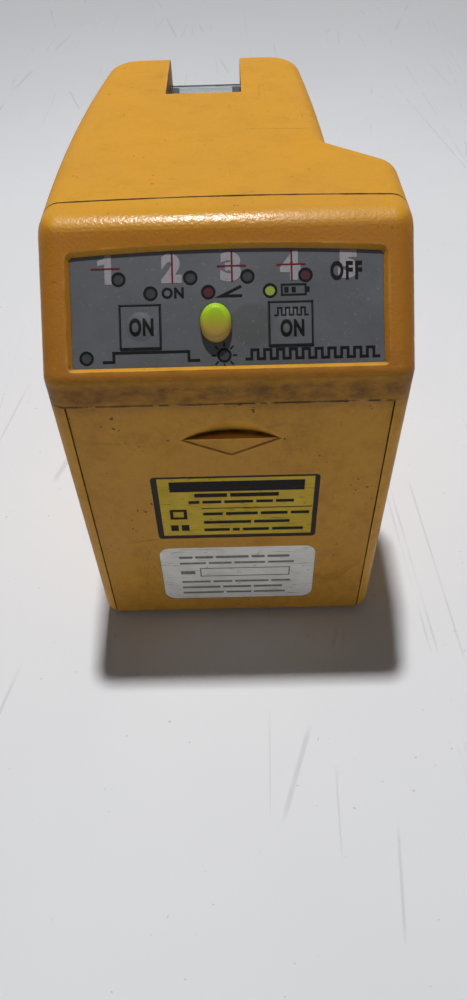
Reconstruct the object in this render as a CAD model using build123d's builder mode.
from build123d import *

"""Self-levelling cross-line laser level, free-standing, with a socket for a tripod.

Frame: +Z is up and z = 0 is the underside of the feet. -Y is the user's side, with the keys and the
battery door. +Y is the side that the laser lines leave by. +X is to the user's right.
"""

import os

os.makedirs("parts", exist_ok=True)

# ---------------------------------------------------------------- driving dimensions, millimetres
body_width = 89.0            # across the front cover
body_depth = 135.2           # user side to beam side
body_height = 128.0          # feet to top
wall = 2.5                   # moulded housing walls
foot_proud = 0.6             # how far the feet stand below the housing
side_draft = 0.4             # degrees that each side leans in towards the base
edge_radius = 5.0            # long outer edges

panel_rise = 26.1            # height of the sloped panel, from the upright front to the top
panel_lean = 44.0            # degrees that the panel leans back from upright
chin_radius = 3.0
toe_radius = 5.4             # front edge of the underside
brow_radius = 8.0

side_straight = 40.0         # sides run straight this far back before they curve in
seam_from_front = 34.0       # front cover to rear body, at the sides
seam_bow = 1.6               # how much further back the seam lies at mid width
seam_gap = 0.3
lip_length = 3.0             # tongue of the front cover inside the rear body
lip_clearance = 0.2

nose_left = 36.4             # nose half-plan at the far end, left and right of the middle plane
nose_right = 24.0
nose_swell = 2.6             # how much wider the right half is a quarter of the depth from the end
nose_root_right = 28.1       # right half where the shoulder meets the nose
nose_corner_radius = 11.0
shoulder_outer = 54.8        # shoulder on the right: from the front, at the outside
shoulder_inner = 67.8        # and where it meets the nose
shoulder_radius = 8.0
shoulder_inner_radius = 3.0

notch_centre = -6.1          # the U notch and everything optical lie on this plane
notch_width = 22.6
notch_length = 33.7
groove_depth = 6.1           # how deep the window lies, on top and on the far face
groove_drop = 66.0           # from the top down to the foot of the far groove
window_thickness = 2.0
window_bend = 3.5
gasket_thickness = 0.8
aperture_margin = 2.6        # housing ledge under the gasket

recess_width = 75.0          # control panel recess at the surface
recess_height = 27.6
recess_up = 2.0              # recess edge above the bend, along the slope
recess_top_radius = 2.0
recess_foot_radius = 1.1
recess_bow = 1.3             # rise of the recess's top edge at mid width
recess_depth = 1.2
recess_wall_taper = 38.0     # degrees that the recess walls lean outwards
overlay_thickness = 1.0
panel_floor = 1.8            # housing floor under the overlay
window_dot_radius = 1.5      # round indicator windows
dot_clearance = 0.05

key_travel = 0.4
key_clearance = 0.12
vial_half_width = 3.65
vial_half_height = 4.35
vial_proud = 1.8
key_proud = 0.25             # key faces over the film
key_dome_radius = 3.4        # raised middle of each key
key_dome_rise = 0.35

door_width = 79.6
chin_height = 8.5            # upright band between the door and the sloped panel
door_sink = 0.5              # door face behind the frame's face
door_thickness = 2.4
door_gap = 0.25
door_toe_radius = 4.0        # rounded toe, centred on the hinge
hinge_pin_radius = 1.0
hinge_pin_overrun = 1.8      # how far a pin reaches past the door's knuckle
knuckle_radius = 3.0
knuckle_length = 5.0

cell_radius = 7.1            # AA
cell_length = 50.5
cell_count = 4
cell_pitch = 14.9
tray_wall = 1.5

gimbal_y = 18.0              # centre of the gimbal, on the notch plane
gimbal_drop = 25.0           # from the top of the housing down to the gimbal
ring_outer = 15.0
ring_inner = 11.5
ring_height = 5.0
pin_radius = 1.0
bearing_radius = 3.0
bearing_width = 2.5
running_fit = 0.05
seat_fit = 0.02              # pieces pressed or glued in place
screw_radius = 1.25
thread_bite = 0.15           # screws cut their thread in a hole that much smaller
screw_head_radius = 2.5
screw_head_height = 1.6

barrel_radius = 5.0
barrel_length = 34.0
barrel_spacing = 14.0
bob_radius = 11.0
bob_height = 14.0
damper_gap = 2.8

bush_thread_radius = 6.85    # minor radius of a 5/8"-11 thread
bush_radius = 10.0
bush_length = 11.5

# ---------------------------------------------------------------- values worked out from them
half_width = body_width / 2
panel_bend_z = body_height - panel_rise
door_top_z = panel_bend_z - chin_height
gimbal_z = body_height - gimbal_drop
groove_foot_z = body_height - groove_drop
front_y = -body_depth / 2
back_y = body_depth / 2
seam_y = front_y + seam_from_front
shell_foot_z = foot_proud
below = 20.0                 # how far cutters run past the housing
trim = 2.0                   # stock that the side profile cuts off the top

panel_plane = Plane(
    origin=Vector(0, front_y, panel_bend_z),
    x_dir=(1, 0, 0),
    z_dir=Vector(0, -1, 0).rotate(Axis.X, -(90 - panel_lean)),
)
slope_length = panel_rise / panel_plane.y_dir.Z
brow_y = front_y + slope_length * panel_plane.y_dir.Y
overlay_top = recess_depth
overlay_under = overlay_top + overlay_thickness
floor_under = overlay_under + panel_floor
key_flange_thickness = 0.6
key_seat = 0.05
switch_gap = 0.45
switch_height = 1.4
board_thickness = 1.6
key_foot = floor_under + key_seat + key_flange_thickness
board_top = key_foot + switch_gap + switch_height

pocket = groove_depth + window_thickness + gasket_thickness
notch_left = notch_centre - notch_width / 2
notch_y = back_y - notch_length

hinge_y = front_y + door_sink + door_toe_radius
hinge_z = shell_foot_z + 0.2 + door_toe_radius
door_face_y = front_y + door_sink
door_back_y = door_face_y + door_thickness


def save(part, name):
    """Name a finished piece and write it to its own file."""
    part.label = name
    export_step(part, f"parts/{name}.step")


def clip(form, y_low, y_high, z_low, z_high):
    """The part of a form that lies between two depths and two heights."""
    with BuildPart() as kept:
        add(form)
        with Locations((0, (y_low + y_high) / 2, (z_low + z_high) / 2)):
            Box(2 * body_width, y_high - y_low, z_high - z_low, mode=Mode.INTERSECT)
    return kept.part


# ---------------------------------------------------------------- outer form
def body_form(inset):
    """The housing's outer form, with every face but the underside moved in by inset."""
    foot_z = shell_foot_z if inset == 0 else shell_foot_z - below
    with BuildPart() as form:
        with BuildSketch(Plane.XY.offset(body_height + trim)) as plan:
            with BuildLine():
                ahead = front_y - below
                front = Line((half_width, ahead), (-half_width, ahead))
                left_front = Line(front @ 1, (-half_width, front_y + side_straight))
                left = TangentArc(left_front @ 1, (-nose_left, back_y), tangent=(0, 1))
                far = Line(left @ 1, (nose_right, back_y))
                right_nose = ThreePointArc(
                    far @ 1,
                    (nose_right + nose_swell, back_y - 0.25 * body_depth),
                    (nose_root_right, front_y + shoulder_inner),
                )
                shoulder = Line(right_nose @ 1, (half_width, front_y + shoulder_outer))
                Line(shoulder @ 1, front @ 0)
            make_face()
            far_corners = plan.vertices().group_by(Axis.Y)[-1]
            fillet(far_corners, radius=nose_corner_radius)
            inner = plan.vertices().sort_by_distance((nose_root_right, front_y + shoulder_inner))[0]
            fillet(inner, radius=shoulder_inner_radius)
            outer = plan.vertices().sort_by_distance((half_width, front_y + shoulder_outer))[0]
            fillet(outer, radius=shoulder_radius)
            if inset > 0:
                offset(amount=-inset, kind=Kind.INTERSECTION, mode=Mode.REPLACE)
        extrude(amount=-(body_height + trim + below), taper=side_draft)
        with BuildSketch(Plane.YZ) as profile:
            with BuildLine():
                Polyline(
                    (back_y + below, foot_z),
                    (front_y, foot_z),
                    (front_y, panel_bend_z),
                    (brow_y, body_height),
                    (back_y + below, body_height),
                    close=True,
                )
            make_face()
            if inset == 0:
                chin = profile.vertices().sort_by_distance((front_y, panel_bend_z))[0]
                fillet(chin, radius=chin_radius)
                toe = profile.vertices().sort_by_distance((front_y, foot_z))[0]
                fillet(toe, radius=toe_radius)
            brow = profile.vertices().sort_by_distance((brow_y, body_height))[0]
            fillet(brow, radius=brow_radius)
            if inset > 0:
                offset(amount=-inset, kind=Kind.INTERSECTION, mode=Mode.REPLACE)
        extrude(amount=body_width, both=True, mode=Mode.INTERSECT)
        if inset < edge_radius:
            rim = form.edges().filter_by(lambda edge: is_rim_edge(edge, foot_z, inset))
            fillet(rim, radius=edge_radius - inset)
    return form.part


def is_rim_edge(edge, foot_z, inset):
    """Edges where the upright walls meet the band of front, panel, top and underside."""
    box = edge.bounding_box()
    crosses_band = box.size.X > 0.8 * body_width and box.size.Y < 1
    stands_in_wall = box.size.Z > 0.9 * (body_height - foot_z) - inset
    is_open_foot = inset > 0 and box.max.Z < foot_z + inset + 1
    return not (crosses_band or stands_in_wall or is_open_foot)


def ahead_of_seam(shift):
    """Everything on the user's side of the bowed seam, the seam moved back by shift."""
    with BuildPart() as region:
        with BuildSketch(Plane.XY.offset(-below)):
            with BuildLine():
                bow = ThreePointArc(
                    (-half_width, seam_y + shift),
                    (0, seam_y + seam_bow + shift),
                    (half_width, seam_y + shift),
                )
                Polyline(
                    bow @ 1,
                    (half_width + below, seam_y + shift),
                    (half_width + below, front_y - below),
                    (-half_width - below, front_y - below),
                    (-half_width - below, seam_y + shift),
                    bow @ 0,
                )
            make_face()
        extrude(amount=body_height + 2 * below)
    return region.part


def notch_form(depth, margin):
    """The space over the notch floor and in front of the far groove, down to depth.

    margin widens it at both sides, at the near end and at the groove's foot.
    """
    bend = window_bend + groove_depth - depth
    with BuildPart() as space:
        with BuildSketch(Plane.YZ.offset(notch_left - margin)) as side:
            with BuildLine():
                Polyline(
                    (notch_y - margin, body_height + below),
                    (notch_y - margin, body_height - depth),
                    (back_y - depth, body_height - depth),
                    (back_y - depth, groove_foot_z - margin),
                    (back_y + below, groove_foot_z - margin),
                    (back_y + below, body_height + below),
                    close=True,
                )
            make_face()
            if bend > 0:
                corner = side.vertices().sort_by_distance((back_y - depth, body_height - depth))[0]
                fillet(corner, radius=bend)
        extrude(amount=notch_width + 2 * margin)
    return space.part


def panel_outline(inset):
    """The control recess's outline on the panel plane, arched at the top, moved in by inset."""
    low = recess_up
    high = recess_up + recess_height
    with BuildSketch() as outline:
        with BuildLine():
            arch = ThreePointArc((-recess_width / 2, high), (0, high + recess_bow), (recess_width / 2, high))
            Polyline(arch @ 1, (recess_width / 2, low), (-recess_width / 2, low), arch @ 0)
        make_face()
        fillet(outline.vertices().group_by(Axis.Y)[-1], radius=recess_top_radius)
        fillet(outline.vertices().group_by(Axis.Y)[0], radius=recess_foot_radius)
        if inset > 0:
            offset(amount=-inset, kind=Kind.INTERSECTION, mode=Mode.REPLACE)
    return outline.sketch


outer_form = body_form(0)
inner_form = body_form(wall)

# ---------------------------------------------------------------- control panel layout
# Places on the panel are (across, up) from the middle of the recess's lower edge.
light_places = [
    (-25.2, 21.5), (-8.4, 21.5), (4.9, 21.5), (18.4, 21.5),
    (-17.8, 18.1), (-4.3, 18.1), (10.1, 18.1),
    (-33.2, 3.4), (-0.9, 3.4),
]
key_on_place = (-20.4, 10.4)
key_on_size = (9.7, 10.3)
key_pulse_place = (14.8, 10.4)
key_pulse_size = (10.4, 10.3)
vial_place = (-2.7, 10.9)
post_places = [(-32.5, 12.5), (32.5, 12.5)]
post_radius = 2.2
stem_side = 7.0
stem_clearance = 0.2
flange_side = 8.4
overlay_inset = recess_depth * 0.78
board_width = 71.0
board_height = 24.0


def on_panel(places):
    """Panel places as points of the panel plane."""
    return [(across, up + recess_up) for across, up in places]


# ---------------------------------------------------------------- front cover
cover_floor_z = 3.6
shelf_z = 3.9                # underside of the shelf that the base plate closes against
shelf_thickness = 2.6
lip_foot_z = shelf_z + shelf_thickness + lip_clearance
lip_inset = wall + 1.5
screw_tower_radius = 3.4
tower_x = half_width - 7.3
tower_heights = (18.5, door_top_z - 9.4)
tray_top_z = door_top_z - 2.4
tray_back_y = front_y + 19.0
tray_flange = 2.0
tower_front_y = tray_back_y + tray_flange
tower_back_y = seam_y + lip_length + 0.3
tower_places = [(side * tower_x, z) for side in (-1, 1) for z in tower_heights]
front_foot_places = [(side * (half_width - 13.5), front_y + 19.0) for side in (-1, 1)]
foot_radius = 5.0
foot_sink = 1.4
lug_low_z = 1.6
lug_high_z = hinge_z + 4.2
door_half = door_width / 2
lug_width = half_width - wall / 2 - door_half - door_gap


def towers(places, y_from, y_to, bore):
    """Screw towers that run along Y from the side walls, with a bore down each."""
    with BuildPart() as group:
        for x, z in places:
            side = 1 if x > 0 else -1
            reach = half_width - wall / 2 - abs(x)
            with BuildSketch(Plane.XZ.offset(-y_from)):
                with Locations((x, z)):
                    Circle(screw_tower_radius)
                with Locations((x + side * reach / 2, z)):
                    Rectangle(reach, 1.4 * screw_tower_radius)
            extrude(amount=-(y_to - y_from))
        with BuildSketch(Plane.XZ.offset(-y_from)):
            with Locations(*places):
                Circle(bore)
        extrude(amount=-(y_to - y_from), mode=Mode.SUBTRACT)
    return group.part


lip_form = body_form(wall + lip_clearance)

with BuildPart() as rear_wall_room:
    add(clip(outer_form, seam_y, back_y, 0, body_height))
    add(lip_form, mode=Mode.SUBTRACT)

with BuildPart() as cover_towers:
    add(towers(tower_places, tower_front_y, tower_back_y, screw_radius + running_fit))
    add(rear_wall_room.part, mode=Mode.SUBTRACT)

with BuildPart() as hinge_lugs:
    # lugs beside the door that hold the hinge pins, kept inside the rounded corners
    lug_x = door_half + door_gap + lug_width / 2
    for side in (-1, 1):
        with Locations((side * lug_x, hinge_y, (lug_low_z + lug_high_z) / 2)):
            Box(lug_width, 2 * knuckle_radius, lug_high_z - lug_low_z)
    add(outer_form, mode=Mode.INTERSECT)

with BuildPart() as front_cover:
    add(outer_form)
    add(ahead_of_seam(0), mode=Mode.INTERSECT)
    add(clip(lip_form, seam_y - 2, seam_y + lip_length, lip_foot_z, body_height))
    add(clip(body_form(lip_inset), front_y, back_y, cover_floor_z, body_height), mode=Mode.SUBTRACT)
    add(clip(inner_form, front_y, seam_y - 2 * lip_length, cover_floor_z, body_height), mode=Mode.SUBTRACT)
    add(cover_towers.part)
    # floor behind the control recess, and the recess itself
    with BuildSketch(panel_plane.offset(-wall + 0.1)):
        with Locations((0, recess_up + recess_height / 2)):
            Rectangle(recess_width + 2, recess_height + 2)
    extrude(amount=-(floor_under - wall + 0.1))
    with BuildSketch(panel_plane):
        add(panel_outline(0))
    extrude(amount=-recess_depth, taper=recess_wall_taper, mode=Mode.SUBTRACT)
    with BuildSketch(panel_plane.offset(-recess_depth)):
        add(panel_outline(overlay_inset))
    extrude(amount=-overlay_thickness, mode=Mode.SUBTRACT)
    # posts that carry the keypad board
    with BuildSketch(panel_plane.offset(-floor_under)):
        with Locations(*on_panel(post_places)):
            Circle(post_radius)
    extrude(amount=-(board_top - floor_under))
    with BuildSketch(panel_plane.offset(-floor_under)):
        with Locations(*on_panel(post_places)):
            Circle(screw_radius - thread_bite)
    extrude(amount=-(board_top - floor_under), mode=Mode.SUBTRACT)
    # windows for the lights, keys and vial
    with BuildSketch(panel_plane.offset(-overlay_under)):
        with Locations(*on_panel(light_places)):
            Circle(window_dot_radius + 2 * dot_clearance)
        with Locations(*on_panel([key_on_place, key_pulse_place])):
            Rectangle(stem_side + 2 * stem_clearance, stem_side + 2 * stem_clearance)
        with Locations(*on_panel([vial_place])):
            Ellipse(vial_half_width + key_clearance, vial_half_height + key_clearance)
    extrude(amount=-panel_floor, mode=Mode.SUBTRACT)
    # door opening, open at the foot, with room for the door's toe and knuckles
    with Locations((0, front_y + wall / 2, (door_top_z + door_gap) / 2 - below / 2)):
        Box(door_width + 2 * door_gap, wall + 2 * trim, door_top_z + door_gap + below, mode=Mode.SUBTRACT)
    toe_room = door_toe_radius + 0.5
    with Locations((0, hinge_y + toe_room - below / 2, hinge_z + toe_room - below / 2)):
        Box(door_width + 2 * door_gap, below, below, mode=Mode.SUBTRACT)
    add(hinge_lugs.part)
    with Locations(Location((0, hinge_y, hinge_z), (0, 90, 0))):
        Cylinder(hinge_pin_radius + seat_fit, body_width - 2 * wall, mode=Mode.SUBTRACT)
    with BuildSketch(Plane.XY.offset(shell_foot_z)):
        with Locations(*front_foot_places):
            Circle(foot_radius + seat_fit)
    extrude(amount=foot_sink, mode=Mode.SUBTRACT)
save(front_cover.part, "front_cover")

# ---------------------------------------------------------------- rear body
base_inset = 5.2
shelf_inset = 8.4
base_front_y = seam_y + 6.0
base_clearance = 0.2
base_screw_places = [
    (-half_width + 11.0, seam_y + 13.0),
    (half_width - 12.0, seam_y + 10.5),
    (-nose_left + 10.0, back_y - 12.0),
    (nose_right - 10.0, back_y - 12.0),
]
base_boss_height = 9.0

with BuildPart() as rear_body:
    add(outer_form)
    add(ahead_of_seam(seam_gap), mode=Mode.SUBTRACT)
    with BuildPart(mode=Mode.PRIVATE) as hollow:
        add(clip(inner_form, front_y, back_y, shelf_z + shelf_thickness, body_height))
        add(notch_form(pocket + wall, wall), mode=Mode.SUBTRACT)
    add(hollow.part, mode=Mode.SUBTRACT)
    add(clip(body_form(base_inset), base_front_y, back_y, -below, shelf_z), mode=Mode.SUBTRACT)
    add(clip(body_form(shelf_inset), base_front_y + 3, back_y, -below, shelf_z + below), mode=Mode.SUBTRACT)
    add(towers(tower_places, tower_back_y + 0.2, tower_back_y + 12, screw_radius - thread_bite))
    with BuildSketch(Plane.XY.offset(shelf_z)):
        with Locations(*base_screw_places):
            Circle(screw_tower_radius)
    extrude(amount=base_boss_height)
    with BuildSketch(Plane.XY.offset(shelf_z)):
        with Locations(*base_screw_places):
            Circle(screw_radius - thread_bite)
    extrude(amount=base_boss_height - 1, mode=Mode.SUBTRACT)
    add(notch_form(pocket, 0), mode=Mode.SUBTRACT)
    add(notch_form(pocket + wall + 1, -aperture_margin), mode=Mode.SUBTRACT)
save(rear_body.part, "rear_body")

# ---------------------------------------------------------------- base plate, bush, feet and screws
base_top_z = shelf_z
base_low_z = shell_foot_z + 0.3
chassis_foot_z = 15.0
chassis_post_places = [(notch_centre + side * 20, y) for side in (-1, 1) for y in (-4.0, 28.0)]
bush_y = 6.0
bush_collar = 3.0
rear_foot_places = [(-26.0, 40.0), (13.0, 40.0)]


def screw(places, plane, length, head_up):
    """Screws with pan heads on one plane: shanks along -Z of the plane, heads on its +Z side."""
    with BuildPart() as group:
        with BuildSketch(plane):
            with Locations(*places):
                Circle(screw_radius - seat_fit - thread_bite)
        extrude(amount=-length)
        with BuildSketch(plane):
            with Locations(*places):
                Circle(screw_head_radius)
        extrude(amount=head_up)
    return group.part


with BuildPart() as base_plate:
    plate_form = body_form(base_inset + base_clearance)
    add(clip(plate_form, base_front_y + base_clearance, back_y, base_low_z, base_top_z))
    with BuildSketch(Plane.XY.offset(base_top_z)):
        with Locations((notch_centre, bush_y)):
            Circle(bush_radius + bush_collar)
    extrude(amount=bush_length - base_top_z)
    with BuildSketch(Plane.XY.offset(base_top_z)):
        with Locations(*chassis_post_places):
            Circle(screw_tower_radius)
    extrude(amount=chassis_foot_z - base_top_z)
    with BuildSketch(Plane.XY.offset(base_top_z + 2)):
        with Locations(*chassis_post_places):
            Circle(screw_radius - thread_bite)
    extrude(amount=chassis_foot_z - base_top_z, mode=Mode.SUBTRACT)
    with BuildSketch(Plane.XY):
        with Locations((notch_centre, bush_y)):
            Circle(bush_radius + seat_fit)
    extrude(amount=body_height, mode=Mode.SUBTRACT)
    with BuildSketch(Plane.XY):
        with Locations(*base_screw_places):
            Circle(screw_radius + running_fit)
    extrude(amount=body_height / 2, mode=Mode.SUBTRACT)
    with BuildSketch(Plane.XY):
        with Locations(*base_screw_places):
            Circle(screw_head_radius + 0.3)
    extrude(amount=base_low_z + screw_head_height + 0.1, mode=Mode.SUBTRACT)
    with BuildSketch(Plane.XY):
        with Locations(*rear_foot_places):
            Circle(foot_radius + seat_fit)
    extrude(amount=shell_foot_z + foot_sink, mode=Mode.SUBTRACT)
save(base_plate.part, "base_plate")

with BuildPart() as tripod_bush:
    with BuildSketch(Plane.XY.offset(base_low_z)):
        with Locations((notch_centre, bush_y)):
            Circle(bush_radius)
    extrude(amount=bush_length - base_low_z)
    with BuildSketch(Plane.XY.offset(bush_length)):
        with Locations((notch_centre, bush_y)):
            Circle(bush_radius + 2)
    extrude(amount=1.2)
    with BuildSketch(Plane.XY.offset(base_low_z)):
        with Locations((notch_centre, bush_y)):
            Circle(bush_thread_radius)
    extrude(amount=bush_length - base_low_z, mode=Mode.SUBTRACT)
    mouth = tripod_bush.faces().sort_by(Axis.Z)[0]
    chamfer(mouth.inner_wires().edges(), length=0.7)
save(tripod_bush.part, "tripod_bush")

with BuildPart() as rubber_feet:
    with BuildSketch(Plane.XY):
        with Locations(*front_foot_places, *rear_foot_places):
            Circle(foot_radius)
    extrude(amount=shell_foot_z + foot_sink)
    chamfer(rubber_feet.edges().group_by(Axis.Z)[0], length=0.3)
save(rubber_feet.part, "rubber_feet")

base_screws = screw(
    [(x, -y) for x, y in base_screw_places],
    Plane(origin=(0, 0, base_low_z + screw_head_height + 0.1), x_dir=(1, 0, 0), z_dir=(0, 0, -1)),
    base_boss_height - 1,
    screw_head_height,
)
save(base_screws, "base_screws")

cover_screws = screw(
    [(x, z) for x, z in tower_places],
    Plane(origin=(0, tray_back_y, 0), x_dir=(1, 0, 0), z_dir=(0, -1, 0)),
    tower_back_y - tray_back_y + 10,
    screw_head_height,
)
save(cover_screws, "cover_screws")

# ---------------------------------------------------------------- window in the notch
pane_clearance = 0.1


def window_layer(depth, thickness, margin):
    """One bent layer lying on the notch floor and down the far groove."""
    with BuildPart() as layer:
        add(notch_form(depth + thickness, margin))
        add(notch_form(depth, margin + 1), mode=Mode.SUBTRACT)
    return layer.part


with BuildPart() as beam_window:
    add(window_layer(groove_depth, window_thickness - 0.05, -pane_clearance))
save(beam_window.part, "beam_window")

with BuildPart() as window_gasket:
    add(window_layer(groove_depth + window_thickness, gasket_thickness - 0.05, -pane_clearance))
    add(notch_form(pocket + wall, -aperture_margin), mode=Mode.SUBTRACT)
save(window_gasket.part, "window_gasket")

# ---------------------------------------------------------------- control panel
with BuildPart() as control_overlay:
    with BuildSketch(panel_plane.offset(-overlay_under)):
        add(panel_outline(overlay_inset + 0.05))
    extrude(amount=overlay_thickness)
    with BuildSketch(panel_plane.offset(-overlay_under)):
        with Locations(*on_panel(light_places)):
            Circle(window_dot_radius)
        for place, size in ((key_on_place, key_on_size), (key_pulse_place, key_pulse_size)):
            with Locations(*on_panel([place])):
                Rectangle(size[0] + 2 * key_clearance, size[1] + 2 * key_clearance)
        with Locations(*on_panel([vial_place])):
            Ellipse(vial_half_width + key_clearance, vial_half_height + key_clearance)
    extrude(amount=overlay_thickness, mode=Mode.SUBTRACT)
save(control_overlay.part, "control_overlay")

with BuildPart() as status_lights:
    with BuildSketch(panel_plane.offset(-board_top)):
        with Locations(*on_panel(light_places)):
            Circle(window_dot_radius - dot_clearance)
    extrude(amount=board_top - overlay_top - 0.05)
save(status_lights.part, "status_lights")

key_top = overlay_top - key_proud
key_pad_under = overlay_under - key_travel - key_seat


def key_dome(place):
    """The shallow dome pressed up in the middle of a key, as the cap of a large ball."""
    ball_radius = (key_dome_radius**2 + key_dome_rise**2) / (2 * key_dome_rise)
    ball_plane = panel_plane.offset(key_dome_rise - key_top - ball_radius)
    with BuildPart() as dome:
        with BuildSketch(panel_plane.offset(-key_top)):
            with Locations(*on_panel([place])):
                Circle(key_dome_radius)
        extrude(amount=key_dome_rise)
        with Locations(*[ball_plane.location * Pos(across, up) for across, up in on_panel([place])]):
            Sphere(ball_radius, mode=Mode.INTERSECT)
    return dome.part


def key(place, size):
    """A key pad with a stem through the panel floor and a flange that keeps it in."""
    with BuildPart() as button:
        with BuildSketch(panel_plane.offset(-key_pad_under)):
            with Locations(*on_panel([place])):
                RectangleRounded(size[0], size[1], 0.5)
        extrude(amount=key_pad_under - key_top)
        add(key_dome(place))
        with BuildSketch(panel_plane.offset(-key_foot)):
            with Locations(*on_panel([place])):
                Rectangle(stem_side, stem_side)
        extrude(amount=key_foot - key_pad_under)
        with BuildSketch(panel_plane.offset(-key_foot)):
            with Locations(*on_panel([place])):
                Rectangle(flange_side, flange_side)
        extrude(amount=key_flange_thickness)
    return button.part


save(key(key_on_place, key_on_size), "key_on")
save(key(key_pulse_place, key_pulse_size), "key_pulse")

with BuildPart() as key_switches:
    with BuildSketch(panel_plane.offset(-board_top)):
        with Locations(*on_panel([key_on_place, key_pulse_place])):
            Rectangle(6, 6)
    extrude(amount=0.8)
    with BuildSketch(panel_plane.offset(-board_top)):
        with Locations(*on_panel([key_on_place, key_pulse_place])):
            Circle(1.7)
    extrude(amount=switch_height)
save(key_switches.part, "key_switches")

with BuildPart() as level_vial:
    with BuildSketch(panel_plane.offset(-board_top)):
        with Locations(*on_panel([vial_place])):
            Ellipse(vial_half_width, vial_half_height)
    extrude(amount=board_top + vial_proud)
    crown = level_vial.faces().sort_by(Axis((0, 0, 0), panel_plane.z_dir))[-1]
    fillet(crown.edges(), radius=vial_proud - 0.1)
save(level_vial.part, "level_vial")

seat_ring = 1.1
with BuildPart() as vial_seat:
    with BuildSketch(panel_plane.offset(-board_top)):
        with Locations(*on_panel([vial_place])):
            Ellipse(vial_half_width + seat_ring, vial_half_height + seat_ring)
            Ellipse(vial_half_width + running_fit, vial_half_height + running_fit, mode=Mode.SUBTRACT)
    extrude(amount=board_top - floor_under)
save(vial_seat.part, "vial_seat")

with BuildPart() as keypad_board:
    with BuildSketch(panel_plane.offset(-board_top)):
        with Locations((0, recess_up + recess_height / 2)):
            RectangleRounded(board_width, board_height, 1.5)
        with Locations(*on_panel(post_places)):
            Circle(screw_radius, mode=Mode.SUBTRACT)
    extrude(amount=-board_thickness)
save(keypad_board.part, "keypad_board")

keypad_screws = screw(
    [(x, -y) for x, y in on_panel(post_places)],
    Plane(
        origin=panel_plane.origin - panel_plane.z_dir * (board_top + board_thickness),
        x_dir=(1, 0, 0),
        z_dir=-panel_plane.z_dir,
    ),
    board_thickness + 2.0,
    1.2,
)
save(keypad_screws, "keypad_screws")

# ---------------------------------------------------------------- battery bay
cell_clearance = 0.15
cell_y = tray_back_y - cell_radius - cell_clearance
cell_foot_z = 17.0
spring_height = 3.0
nub_height = 1.2
nub_radius = 2.7
contact_thickness = 0.5
contact_side = 9.0
spring_radius = 4.0
bay_low_z = cell_foot_z - spring_height - contact_thickness
bay_high_z = cell_foot_z + cell_length + nub_height + contact_thickness
bay_half = cell_pitch * (cell_count - 1) / 2 + cell_radius + 0.3
bay_front_y = cell_y - cell_radius - 0.4
cell_xs = [cell_pitch * (index - (cell_count - 1) / 2) for index in range(cell_count)]

with BuildPart() as battery_tray:
    with BuildSketch(Plane.XZ.offset(-tray_back_y)):
        with Locations((0, (cover_floor_z + tray_top_z) / 2)):
            RectangleRounded(2 * (half_width - lip_inset - 0.1), tray_top_z - cover_floor_z - 0.4, 2.0)
    extrude(amount=-tray_flange)
    with Locations((0, (bay_front_y + tray_back_y) / 2, (bay_low_z + bay_high_z) / 2)):
        Box(2 * (bay_half + tray_wall), tray_back_y - bay_front_y, bay_high_z - bay_low_z + 2 * tray_wall)
    with Locations((0, (bay_front_y + tray_back_y) / 2 - trim, (bay_low_z + bay_high_z) / 2)):
        Box(2 * bay_half, tray_back_y - bay_front_y + 2 * trim, bay_high_z - bay_low_z, mode=Mode.SUBTRACT)
    with BuildSketch(Plane.XZ.offset(-tray_back_y)):
        with Locations(*tower_places):
            Circle(screw_radius + running_fit)
    extrude(amount=-tray_flange, mode=Mode.SUBTRACT)
save(battery_tray.part, "battery_tray")


def cell(x, nub_up):
    """One AA cell, standing, with its positive nub up or down."""
    foot = cell_foot_z if nub_up else bay_high_z - contact_thickness - spring_height - cell_length
    with BuildPart() as battery:
        with BuildSketch(Plane.XY.offset(foot)):
            with Locations((x, cell_y)):
                Circle(cell_radius)
        extrude(amount=cell_length)
        chamfer(battery.edges(), length=0.5)
        nub_z = foot + cell_length if nub_up else foot - nub_height
        with BuildSketch(Plane.XY.offset(nub_z)):
            with Locations((x, cell_y)):
                Circle(nub_radius)
        extrude(amount=nub_height)
    return battery.part


def contact(x, at_top, sprung):
    """A sheet contact against one end of the bay, with a coil spring shown as its cone."""
    face_z = bay_high_z - contact_thickness if at_top else bay_low_z
    with BuildPart() as sheet:
        with Locations((x, cell_y, face_z + contact_thickness / 2)):
            Box(contact_side, contact_side, contact_thickness)
        if sprung:
            spring_plane = Plane.XY.offset(face_z + contact_thickness)
            if at_top:
                spring_plane = Plane((0, 0, face_z), x_dir=(1, 0, 0), z_dir=(0, 0, -1))
            with BuildSketch(spring_plane):
                with Locations((x, -cell_y if at_top else cell_y)):
                    Circle(spring_radius)
            extrude(amount=spring_height, taper=18)
    return sheet.part


battery_cells = Compound(children=[cell(x, index % 2 == 0) for index, x in enumerate(cell_xs)])
save(battery_cells, "battery_cells")

battery_contacts = Compound(
    children=[
        contact(x, at_top, sprung=(index % 2 == 0) != at_top)
        for index, x in enumerate(cell_xs)
        for at_top in (False, True)
    ]
)
save(battery_contacts, "battery_contacts")

# ---------------------------------------------------------------- battery door
scoop_z = door_top_z - 11.8  # line through the scoop's two tips
scoop_half = 13.0
scoop_rise = 6.5             # top of the arched dish over the tips
scoop_drop = 5.8             # foot of the shallow V below them
scoop_depth = 3.2            # of the straight ledge, at mid width
facet_depth = 0.35
facet_lean = 45.0            # degrees, of the V's edges
backing_depth = 3.2
plate_x = 0.8                # both plate recesses sit a little right of middle
yellow_plate = (46.0, 26.4, door_top_z - 38.4)     # width, height, height of its middle
silver_plate = (47.6, 27.0, 23.6)
plate_sink = 0.4
knuckle_inset = 0.4
knuckle_xs = [side * (door_half - knuckle_inset - knuckle_length / 2) for side in (-1, 1)]
door_rib = 3.0
rib_thickness = 1.4


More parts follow.
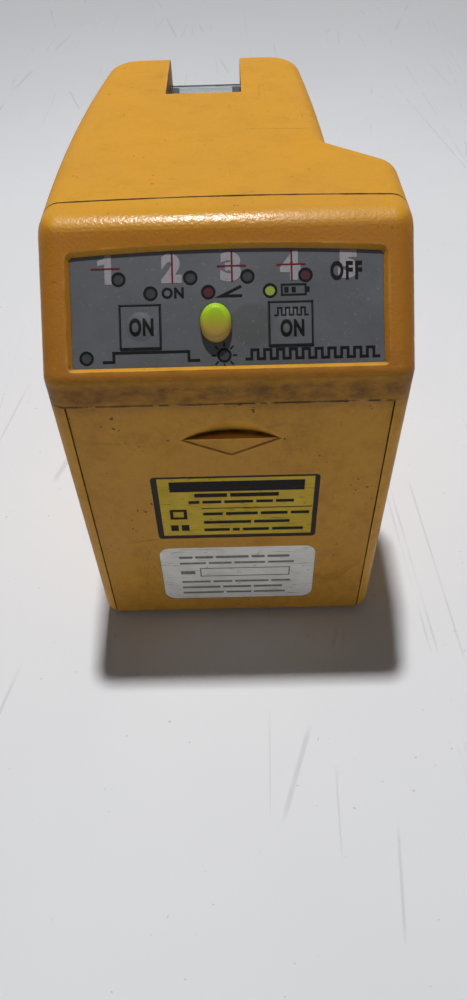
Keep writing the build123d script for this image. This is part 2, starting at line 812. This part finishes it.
# Finger scoop: a dish cut by a large ball, kept above the tips so that it ends in a straight ledge,
# and a shallow V below the ledge. The ball's size follows from the dish's arch and its depth.
arch_radius = (scoop_half**2 + scoop_rise**2) / (2 * scoop_rise)
arch_drop = arch_radius - scoop_rise     # the arch's centre lies this far below the tips
ball_front = (scoop_half**2 - scoop_depth**2) / (2 * scoop_depth)
ball_radius = (arch_radius**2 + ball_front**2) ** 0.5
with BuildPart() as scoop:
    with Locations((0, door_face_y - ball_front, scoop_z - arch_drop)):
        Sphere(ball_radius)
    with Locations((0, door_face_y, scoop_z + ball_radius / 2)):
        Box(2 * body_width, 4 * scoop_depth, ball_radius, mode=Mode.INTERSECT)
    with BuildSketch(Plane.XZ.offset(-door_face_y)):
        with BuildLine():
            Polyline(
                (-scoop_half, scoop_z),
                (0, scoop_z - scoop_drop),
                (scoop_half, scoop_z),
                (0, scoop_z + scoop_drop),
                close=True,
            )
        make_face()
    extrude(amount=-facet_depth, taper=facet_lean)

with BuildPart() as battery_door:
    with BuildSketch(Plane.YZ.offset(-door_half)) as section:
        with BuildLine():
            up = Line((door_face_y, hinge_z), (door_face_y, door_top_z))
            top = Line(up @ 1, (door_back_y, door_top_z))
            down = Line(top @ 1, (door_back_y, hinge_z))
            inside = RadiusArc(down @ 1, (hinge_y, hinge_z - door_toe_radius + door_thickness),
                               -(door_toe_radius - door_thickness))
            end = Line(inside @ 1, (hinge_y, hinge_z - door_toe_radius))
            RadiusArc(end @ 1, up @ 0, door_toe_radius)
        make_face()
    extrude(amount=door_width)
    # stiffening ribs down both sides, and the backing behind the scoop
    rib_low_z = hinge_z + 8
    rib_high_z = door_top_z - 2
    for side in (-1, 1):
        with Locations((side * (door_half - 1.2), door_back_y + door_rib / 2, (rib_low_z + rib_high_z) / 2)):
            Box(rib_thickness, door_rib, rib_high_z - rib_low_z)
    with BuildSketch(Plane.XZ.offset(-door_back_y)):
        with Locations((0, scoop_z + 0.4)):
            RectangleRounded(2 * scoop_half + 4, scoop_rise + scoop_drop + 3, 3)
    extrude(amount=-backing_depth)
    add(scoop.part, mode=Mode.SUBTRACT)
    for width, height, middle_z in (yellow_plate, silver_plate):
        with BuildSketch(Plane.XZ.offset(-door_face_y)):
            with Locations((plate_x, middle_z)):
                RectangleRounded(width, height, 1.2 if height < silver_plate[1] else 3.6)
        extrude(amount=-plate_sink, mode=Mode.SUBTRACT)
    for x in knuckle_xs:
        with BuildSketch(Plane.YZ.offset(x - knuckle_length / 2)):
            with Locations((hinge_y, hinge_z)):
                Circle(knuckle_radius)
            with Locations((hinge_y - door_toe_radius / 2, hinge_z + 1)):
                Rectangle(door_toe_radius - 0.6, 2)
        extrude(amount=knuckle_length)
    with Locations(Location((0, hinge_y, hinge_z), (0, 90, 0))):
        Cylinder(hinge_pin_radius + running_fit, door_width, mode=Mode.SUBTRACT)
save(battery_door.part, "battery_door")

with BuildPart() as hinge_pins:
    pin_start = half_width - wall - 0.4
    pin_end = door_half - knuckle_inset - knuckle_length - hinge_pin_overrun
    for side in (-1, 1):
        with BuildSketch(Plane.YZ.offset(side * pin_start)):
            with Locations((hinge_y, hinge_z)):
                Circle(hinge_pin_radius)
        extrude(amount=-side * (pin_start - pin_end))
save(hinge_pins.part, "hinge_pins")

pad_width = 48.0
pad_height = 18.0
pad_face_y = bay_front_y - 0.2
with BuildPart() as door_pad:
    with Locations((0, (door_back_y + pad_face_y) / 2, cell_foot_z + cell_length / 2)):
        Box(pad_width, pad_face_y - door_back_y, pad_height)
save(door_pad.part, "door_pad")

# ---------------------------------------------------------------- chassis and gimbal
platform_thickness = 2.5
platform_half = ring_outer + 10.0
chassis_back_y = -13.0       # user's side face of the chassis wall
chassis_wall = 2.5
platform_front_y = 34.0
platform_top_z = chassis_foot_z + platform_thickness
arm_inner = ring_outer + 2.5
arm_thickness = 3.0
arm_half_height = 9.0
board_gap = 4.0
board_half = 23.0
board_low_z = 26.0
board_high_z = gimbal_z - 9.0
spacer_heights = (board_low_z + 5.0, board_high_z - 5.0)
spacer_places = [(notch_centre + side * 19.0, z) for side in (-1, 1) for z in spacer_heights]
spacer_radius = 2.6
contact_ring_z = gimbal_z - 47.0
contact_ring_inner = 9.2     # clears the pendulum rod until both gimbal axes reach their stops
contact_ring_outer = 12.0
contact_strap = 8.0          # width of the strap that holds the ring
strap_thickness = 1.2
strap_foot = 7.8
chassis_window = (22.0, 24.0, 4.0)     # width, height and corner radius

with BuildPart() as chassis:
    with BuildSketch(Plane.YZ.offset(notch_centre - platform_half)) as bracket_side:
        with BuildLine():
            Polyline(
                (chassis_back_y, chassis_foot_z),
                (platform_front_y, chassis_foot_z),
                (platform_front_y, platform_top_z),
                (chassis_back_y + chassis_wall, platform_top_z),
                (chassis_back_y + chassis_wall, gimbal_z + arm_half_height),
                (chassis_back_y, gimbal_z + arm_half_height),
                close=True,
            )
        make_face()
        inside = bracket_side.vertices().sort_by_distance(
            (chassis_back_y + chassis_wall, platform_top_z))[0]
        fillet(inside, radius=4.0)
    extrude(amount=2 * platform_half)
    for side in (-1, 1):
        with BuildSketch(Plane.YZ.offset(notch_centre + side * arm_inner)):
            with BuildLine():
                arm_low = gimbal_z - arm_half_height
                arm_high = gimbal_z + arm_half_height
                base_line = Line((chassis_back_y, arm_high), (chassis_back_y, arm_low - 14))
                under = Line(base_line @ 1, (gimbal_y, arm_low))
                tip = RadiusArc(under @ 1, (gimbal_y, arm_high), -arm_half_height)
                Line(tip @ 1, base_line @ 0)
            make_face()
        extrude(amount=side * arm_thickness)
    with Locations(Location((notch_centre, gimbal_y, gimbal_z), (0, 90, 0))):
        Cylinder(bearing_radius + seat_fit, 2 * platform_half, mode=Mode.SUBTRACT)
    with BuildSketch(Plane.XY.offset(chassis_foot_z)):
        with Locations(*chassis_post_places):
            Circle(screw_radius + running_fit)
    extrude(amount=platform_thickness, mode=Mode.SUBTRACT)
    # seats for the board spacers are drilled through the wall
    with BuildSketch(Plane.XZ.offset(-chassis_back_y)):
        with Locations(*spacer_places):
            Circle(screw_radius + running_fit)
    extrude(amount=-chassis_wall, mode=Mode.SUBTRACT)
    # a window in the wall lightens it
    with BuildSketch(Plane.XZ.offset(-chassis_back_y)):
        with Locations((notch_centre, gimbal_z - 27.0)):
            RectangleRounded(*chassis_window)
    extrude(amount=-chassis_wall, mode=Mode.SUBTRACT)
save(chassis.part, "chassis")

chassis_screws = screw(
    chassis_post_places,
    Plane.XY.offset(platform_top_z),
    platform_thickness + 7,
    screw_head_height,
)
save(chassis_screws, "chassis_screws")

with BuildPart() as tilt_contact_ring:
    with BuildSketch(Plane.XY.offset(contact_ring_z)):
        with Locations((notch_centre, gimbal_y)):
            Circle(contact_ring_outer)
        arm_length = gimbal_y - chassis_back_y - chassis_wall
        with Locations((notch_centre, gimbal_y - arm_length / 2)):
            Rectangle(contact_strap, arm_length)
        with Locations((notch_centre, gimbal_y)):
            Circle(contact_ring_inner, mode=Mode.SUBTRACT)
    extrude(amount=strap_thickness)
    # foot that is riveted to the chassis wall
    foot_y = chassis_back_y + chassis_wall + strap_thickness / 2
    with Locations((notch_centre, foot_y, contact_ring_z + strap_thickness - strap_foot / 2)):
        Box(contact_strap, strap_thickness, strap_foot)
save(tilt_contact_ring.part, "tilt_contact_ring")

with BuildPart() as board_spacers:
    with BuildSketch(Plane.XZ.offset(-chassis_back_y)):
        with Locations(*spacer_places):
            Circle(spacer_radius)
            Circle(screw_radius + running_fit, mode=Mode.SUBTRACT)
    extrude(amount=board_gap)
save(board_spacers.part, "board_spacers")

board_back_y = chassis_back_y - board_gap
board_front_y = board_back_y - board_thickness
with BuildPart() as main_board:
    with BuildSketch(Plane.XZ.offset(-board_back_y)):
        with Locations((notch_centre, (board_low_z + board_high_z) / 2)):
            RectangleRounded(2 * board_half, board_high_z - board_low_z, 2.0)
        with Locations(*spacer_places):
            Circle(screw_radius + running_fit, mode=Mode.SUBTRACT)
    extrude(amount=board_thickness)
save(main_board.part, "main_board")

board_screws = screw(
    spacer_places,
    Plane(origin=(0, board_front_y, 0), x_dir=(1, 0, 0), z_dir=(0, -1, 0)),
    board_thickness + board_gap + chassis_wall,
    screw_head_height,
)
save(board_screws, "board_screws")

# controller, driver, connector and coil: x from the middle, z over the board's foot, width, height, thickness
component_sizes = [(-6, 40, 12, 12, 1.6), (9, 46, 6, 8, 1.6), (0, 61, 18, 5, 3.5), (9, 18, 10, 7, 3.0)]
capacitor = (-9, 16, 4.0, 4.5)         # x, z, radius, height
with BuildPart() as board_components:
    for x, z, width, height, thickness in component_sizes:
        with Locations((notch_centre + x, board_front_y - thickness / 2, board_low_z + z)):
            Box(width, thickness, height)
    with BuildSketch(Plane.XZ.offset(-board_front_y)):
        with Locations((notch_centre + capacitor[0], board_low_z + capacitor[1])):
            Circle(capacitor[2])
    extrude(amount=capacitor[3])
save(board_components.part, "board_components")


def bearing_pair(direction, from_centre):
    """Two plain bearing rings on one gimbal axis, one each side of its centre."""
    centre = Vector(notch_centre, gimbal_y, gimbal_z)
    with BuildPart() as pair:
        for side in (-1, 1):
            start = centre + direction * (side * from_centre)
            with BuildSketch(Plane(origin=start, z_dir=direction * side)):
                Circle(bearing_radius)
                Circle(pin_radius + running_fit, mode=Mode.SUBTRACT)
            extrude(amount=bearing_width)
    return pair.part


def pin_pair(direction, from_centre, length):
    """Two pins on one gimbal axis, pressed in the ring and pointing out of it."""
    centre = Vector(notch_centre, gimbal_y, gimbal_z)
    with BuildPart() as pair:
        for side in (-1, 1):
            start = centre + direction * (side * from_centre)
            with BuildSketch(Plane(origin=start, z_dir=direction * side)):
                Circle(pin_radius)
            extrude(amount=length)
    return pair.part


x_axis = Vector(1, 0, 0)
y_axis = Vector(0, 1, 0)
neck_half = 9.0
save(bearing_pair(x_axis, arm_inner + (arm_thickness - bearing_width) / 2), "outer_bearings")

with BuildPart() as gimbal_ring:
    with BuildSketch(Plane.XY.offset(gimbal_z - ring_height / 2)):
        with Locations((notch_centre, gimbal_y)):
            Circle(ring_outer)
            Circle(ring_inner, mode=Mode.SUBTRACT)
    extrude(amount=ring_height)
    for turn in ((0, 90, 0), (90, 0, 0)):
        with Locations(Location((notch_centre, gimbal_y, gimbal_z), turn)):
            Cylinder(pin_radius + seat_fit, 4 * ring_outer, mode=Mode.SUBTRACT)
save(gimbal_ring.part, "gimbal_ring")

save(pin_pair(x_axis, ring_inner + 0.4, arm_inner + arm_thickness - ring_inner - 0.7), "outer_pins")
save(pin_pair(y_axis, neck_half - bearing_width, ring_outer - neck_half + bearing_width - 0.4), "inner_pins")
save(bearing_pair(y_axis, neck_half - bearing_width), "inner_bearings")

# ---------------------------------------------------------------- pendulum
head_half_x = 13.0
head_half_y = 12.0
head_height = 16.0
head_high_z = gimbal_z - 9.0
head_low_z = head_high_z - head_height
neck_half_x = 5.0
neck_high_z = gimbal_z + 5.0
barrel_z = head_low_z + head_height / 2
barrel_bore = 3.9
barrel_back_y = gimbal_y - barrel_length / 2
barrel_front_y = gimbal_y + barrel_length / 2
barrel_xs = [notch_centre - barrel_spacing / 2, notch_centre + barrel_spacing / 2]
cap_thickness = 3.0
cap_hole_radius = 2.4
rod_lens_radius = 1.6
rod_radius = 3.0
magnet_height = 3.0
magnet_cup = 1.2
damper_low_z = platform_top_z + magnet_cup + magnet_height + damper_gap
damper_thickness = 1.5
bob_low_z = damper_low_z + damper_thickness
trim_radius = 1.2
trim_depth = 5.0
trim_proud = 1.6
trim_z = head_high_z - 1.7      # just over the barrels
trim_places = [(gimbal_y - 8.0, trim_z), (gimbal_y + 8.0, trim_z)]


def along_y(places, y):
    """A sketch plane across Y at the given depth, with +Y as its normal, and the places on it."""
    return Plane(origin=(0, y, 0), x_dir=(-1, 0, 0), z_dir=(0, 1, 0)), [(-x, z) for x, z in places]


barrel_plane, barrel_places = along_y([(x, barrel_z) for x in barrel_xs], barrel_back_y)

with BuildPart() as pendulum_head:
    with Locations((notch_centre, gimbal_y, (head_low_z + head_high_z) / 2)):
        Box(2 * head_half_x, 2 * head_half_y, head_high_z - head_low_z)
    fillet(pendulum_head.edges().filter_by(Axis.Z), radius=3.0)
    with Locations((notch_centre, gimbal_y, (head_high_z + neck_high_z) / 2)):
        Box(2 * neck_half_x, 2 * neck_half, neck_high_z - head_high_z)
    with BuildSketch(barrel_plane):
        with Locations(*barrel_places):
            Circle(barrel_radius + seat_fit)
    extrude(amount=barrel_length, mode=Mode.SUBTRACT)
    with Locations(Location((notch_centre, gimbal_y, gimbal_z), (90, 0, 0))):
        Cylinder(bearing_radius + seat_fit, 4 * neck_half, mode=Mode.SUBTRACT)
    for side in (-1, 1):
        with BuildSketch(Plane.YZ.offset(notch_centre + side * head_half_x)):
            with Locations(*trim_places):
                Circle(trim_radius + seat_fit)
        extrude(amount=-side * trim_depth, mode=Mode.SUBTRACT)
save(pendulum_head.part, "pendulum_head")

with BuildPart() as trim_screws:
    for side in (-1, 1):
        with BuildSketch(Plane.YZ.offset(notch_centre + side * (head_half_x + trim_proud))):
            with Locations(*trim_places):
                Circle(trim_radius)
        extrude(amount=-side * (trim_depth + trim_proud - 0.2))
save(trim_screws.part, "trim_screws")

with BuildPart() as laser_barrels:
    with BuildSketch(barrel_plane):
        with Locations(*barrel_places):
            Circle(barrel_radius)
            Circle(barrel_bore, mode=Mode.SUBTRACT)
    extrude(amount=barrel_length)
save(laser_barrels.part, "laser_barrels")

with BuildPart() as diode_caps:
    with BuildSketch(barrel_plane):
        with Locations(*barrel_places):
            Circle(barrel_radius)
    extrude(amount=-1.2)
    with BuildSketch(barrel_plane):
        with Locations(*barrel_places):
            Circle(barrel_bore - seat_fit)
    extrude(amount=4.0)
save(diode_caps.part, "diode_caps")

with BuildPart() as collimator_lenses:
    lens_plane, lens_places = along_y([(x, barrel_z) for x in barrel_xs], barrel_front_y - 9)
    with BuildSketch(lens_plane):
        with Locations(*lens_places):
            Circle(barrel_bore - seat_fit)
    extrude(amount=2.4)
    fillet(collimator_lenses.edges().filter_by(GeomType.CIRCLE).group_by(Axis.Y)[-1], radius=1.2)
save(collimator_lenses.part, "collimator_lenses")

front_plane, front_places = along_y([(x, barrel_z) for x in barrel_xs], barrel_front_y)
lens_turns = (0.0, 90.0)     # one rod lies level and one stands up, for the two lines
with BuildPart() as lens_caps:
    with BuildSketch(front_plane):
        with Locations(*front_places):
            Circle(barrel_radius + 0.8)
    extrude(amount=cap_thickness + 1)
    with BuildSketch(front_plane):
        with Locations(*front_places):
            Circle(cap_hole_radius)
    extrude(amount=cap_thickness + 1, mode=Mode.SUBTRACT)
    for x, turn in zip(barrel_xs, lens_turns):
        with Locations(Location((x, barrel_front_y + cap_thickness, barrel_z), (0, 90 - turn, 0))):
            Cylinder(rod_lens_radius + seat_fit, 8.0, mode=Mode.SUBTRACT)
save(lens_caps.part, "lens_caps")

with BuildPart() as rod_lenses:
    for x, turn in zip(barrel_xs, lens_turns):
        with Locations(Location((x, barrel_front_y + cap_thickness, barrel_z), (0, 90 - turn, 0))):
            Cylinder(rod_lens_radius, 7.6)
save(rod_lenses.part, "rod_lenses")

with BuildPart() as pendulum_rod:
    with BuildSketch(Plane.XY.offset(bob_low_z)):
        with Locations((notch_centre, gimbal_y)):
            Circle(rod_radius)
    extrude(amount=head_low_z - bob_low_z)
save(pendulum_rod.part, "pendulum_rod")

with BuildPart() as pendulum_bob:
    with BuildSketch(Plane.XY.offset(bob_low_z)):
        with Locations((notch_centre, gimbal_y)):
            Circle(bob_radius)
    extrude(amount=bob_height)
    chamfer(pendulum_bob.edges().group_by(Axis.Z)[-1], length=1.5)
    with BuildSketch(Plane.XY.offset(bob_low_z)):
        with Locations((notch_centre, gimbal_y)):
            Circle(rod_radius + seat_fit)
    extrude(amount=bob_height, mode=Mode.SUBTRACT)
save(pendulum_bob.part, "pendulum_bob")

with BuildPart() as damper_disc:
    with BuildSketch(Plane.XY.offset(damper_low_z)):
        with Locations((notch_centre, gimbal_y)):
            Circle(bob_radius + 2)
    extrude(amount=damper_thickness)
save(damper_disc.part, "damper_disc")

magnet_radius = 4.0
magnet_circle = 7.2
holder_radius = 12.5
with BuildPart() as magnet_holder:
    with BuildSketch(Plane.XY.offset(platform_top_z)):
        with Locations((notch_centre, gimbal_y)):
            Circle(holder_radius)
    extrude(amount=magnet_cup + magnet_height)
    with BuildSketch(Plane.XY.offset(platform_top_z + magnet_cup)):
        with Locations((notch_centre, gimbal_y)):
            with PolarLocations(magnet_circle, 4, start_angle=45):
                Circle(magnet_radius + seat_fit)
    extrude(amount=magnet_height, mode=Mode.SUBTRACT)
save(magnet_holder.part, "magnet_holder")

with BuildPart() as damper_magnets:
    with BuildSketch(Plane.XY.offset(platform_top_z + magnet_cup)):
        with Locations((notch_centre, gimbal_y)):
            with PolarLocations(magnet_circle, 4, start_angle=45):
                Circle(magnet_radius)
    extrude(amount=magnet_height)
save(damper_magnets.part, "damper_magnets")
